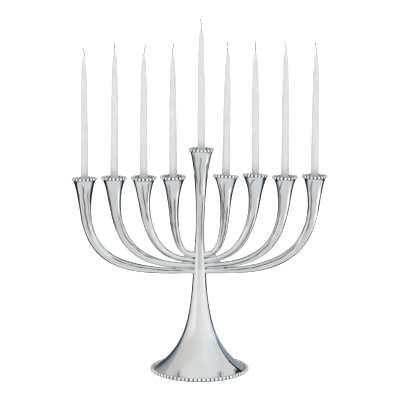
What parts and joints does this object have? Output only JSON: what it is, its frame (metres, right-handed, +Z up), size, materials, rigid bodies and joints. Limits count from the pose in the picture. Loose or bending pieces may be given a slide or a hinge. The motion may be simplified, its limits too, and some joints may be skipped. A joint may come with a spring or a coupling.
{
  "type": "menorah",
  "caption": "Polished metal menorah: bell foot and stem, curved branches with flared, bead-rimmed cups in a row, a taller middle cup, and lift-out taper candles with wicks.",
  "frame": {"origin": "centre of the foot on the table, under the stem's axis", "axes": "+Z up the stem; +X along the row of cups, to the viewer's right from the front; -Y towards the front"},
  "size_m": [0.3046, 0.119, 0.4241],
  "materials": {
    "polished_metal": "mirror polished by hand over a cast surface, with long soft ripples",
    "beaded_metal": "bright polished beads on a wire, darker in the gaps",
    "steel": "zinc-plated steel hardware",
    "felt": "dark grey pressed felt",
    "wax": "satin white hand-dipped wax",
    "wick": "braided grey-white cotton, waxed"
  },
  "bodies": {
    "stand": {"foot_bell": "polished_metal", "foot_bead_ring": "beaded_metal", "foot_felt_ring": "felt", "stem_stud": "steel", "stem_washer": "steel", "stem_nut": "steel", "stem_hub": "polished_metal", "shamash_horn": "polished_metal", "shamash_bead_ring": "beaded_metal", "branch_left_1": "polished_metal", "branch_left_2": "polished_metal", "branch_left_3": "polished_metal", "branch_left_4": "polished_metal", "branch_right_1": "polished_metal", "branch_right_2": "polished_metal", "branch_right_3": "polished_metal", "branch_right_4": "polished_metal", "bead_ring_left_1": "beaded_metal", "bead_ring_left_2": "beaded_metal", "bead_ring_left_3": "beaded_metal", "bead_ring_left_4": "beaded_metal", "bead_ring_right_1": "beaded_metal", "bead_ring_right_2": "beaded_metal", "bead_ring_right_3": "beaded_metal", "bead_ring_right_4": "beaded_metal"},
    "taper_shamash": {"candle_shamash": "wax", "wick_shamash": "wick"},
    "taper_left_1": {"candle_left_1": "wax", "wick_left_1": "wick"},
    "taper_left_2": {"candle_left_2": "wax", "wick_left_2": "wick"},
    "taper_left_3": {"candle_left_3": "wax", "wick_left_3": "wick"},
    "taper_left_4": {"candle_left_4": "wax", "wick_left_4": "wick"},
    "taper_right_1": {"candle_right_1": "wax", "wick_right_1": "wick"},
    "taper_right_2": {"candle_right_2": "wax", "wick_right_2": "wick"},
    "taper_right_3": {"candle_right_3": "wax", "wick_right_3": "wick"},
    "taper_right_4": {"candle_right_4": "wax", "wick_right_4": "wick"}
  },
  "joints": [
    {"name": "lift_shamash", "type": "slide", "parent": "stand", "child": "taper_shamash", "axis": [0, 0, 1], "range_m": [0, 0.03]},
    {"name": "lift_left_1", "type": "slide", "parent": "stand", "child": "taper_left_1", "axis": [0, 0, 1], "range_m": [0, 0.03]},
    {"name": "lift_left_2", "type": "slide", "parent": "stand", "child": "taper_left_2", "axis": [0, 0, 1], "range_m": [0, 0.03]},
    {"name": "lift_left_3", "type": "slide", "parent": "stand", "child": "taper_left_3", "axis": [0, 0, 1], "range_m": [0, 0.03]},
    {"name": "lift_left_4", "type": "slide", "parent": "stand", "child": "taper_left_4", "axis": [0, 0, 1], "range_m": [0, 0.03]},
    {"name": "lift_right_1", "type": "slide", "parent": "stand", "child": "taper_right_1", "axis": [0, 0, 1], "range_m": [0, 0.03]},
    {"name": "lift_right_2", "type": "slide", "parent": "stand", "child": "taper_right_2", "axis": [0, 0, 1], "range_m": [0, 0.03]},
    {"name": "lift_right_3", "type": "slide", "parent": "stand", "child": "taper_right_3", "axis": [0, 0, 1], "range_m": [0, 0.03]},
    {"name": "lift_right_4", "type": "slide", "parent": "stand", "child": "taper_right_4", "axis": [0, 0, 1], "range_m": [0, 0.03]}
  ]
}
